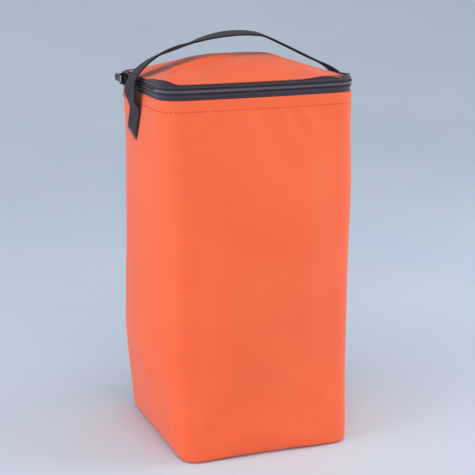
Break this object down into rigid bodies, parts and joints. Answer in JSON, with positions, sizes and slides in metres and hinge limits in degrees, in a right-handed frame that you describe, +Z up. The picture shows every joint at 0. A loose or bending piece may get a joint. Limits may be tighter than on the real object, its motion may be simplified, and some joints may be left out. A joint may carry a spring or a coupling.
{
  "type": "padded storage bag",
  "caption": "Tall square foam-padded bag with a domed lid, a zipper round three sides and a webbing carrying handle.",
  "frame": {"origin": "centre of the base panel, on the surface that the bag stands on", "axes": "+Z up along the bag's height, +Y to the back where the lid is hinged, +X to the right as seen from the front"},
  "size_m": [0.1932, 0.1632, 0.3506],
  "materials": {
    "orange_fabric": "smooth coated woven polyester, soft sheen",
    "foam": "closed-cell foam padding, matt",
    "lining": "thin woven lining",
    "zip_tape": "ribbed woven zipper tape, matt black",
    "zip_teeth": "black moulded plastic",
    "webbing": "ribbed woven black webbing",
    "slider_metal": "black lacquered metal",
    "pull_metal": "bright plated metal"
  },
  "bodies": {
    "bag": {"body_cover": "orange_fabric", "body_foam": "foam", "body_lining": "lining", "mouth_facing": "lining", "base_cover": "orange_fabric", "base_foam": "foam", "base_lining": "lining", "hinge_band_lower": "orange_fabric", "lower_zip_tape": "zip_tape", "lower_zip_teeth": "zip_teeth", "zip_end_stops": "slider_metal", "handle_tail_left": "webbing", "handle_tail_right": "webbing"},
    "lid": {"lid_cover": "orange_fabric", "lid_foam": "foam", "lid_lining": "lining", "hinge_band_upper": "orange_fabric", "upper_zip_tape": "zip_tape", "upper_zip_teeth": "zip_teeth"},
    "handle": {"handle_loop": "webbing"},
    "slider": {"slider": "slider_metal"},
    "pull": {"pull_tab": "pull_metal"}
  },
  "joints": [
    {"name": "lid_open", "type": "hinge", "parent": "bag", "child": "lid", "pos_m": [0, 0.0534, 0.307], "axis": [-1, 0, 0], "range_deg": [0, 150], "deforming": ["handle_loop"]},
    {"name": "handle_swing", "type": "hinge", "parent": "bag", "child": "handle", "pos_m": [0, -0.0015, 0.284], "axis": [-1, 0, 0], "range_deg": [0, 24], "stiffness_Nm_per_rad": 0.03},
    {"name": "slider_travel", "type": "slide", "parent": "bag", "child": "slider", "axis": [0, -1, 0], "range_m": [0, 0.058]},
    {"name": "pull_swing", "type": "hinge", "parent": "slider", "child": "pull", "pos_m": [-0.09225, 0.021, 0.307], "axis": [0, 0, 1], "range_deg": [0, 120]}
  ]
}
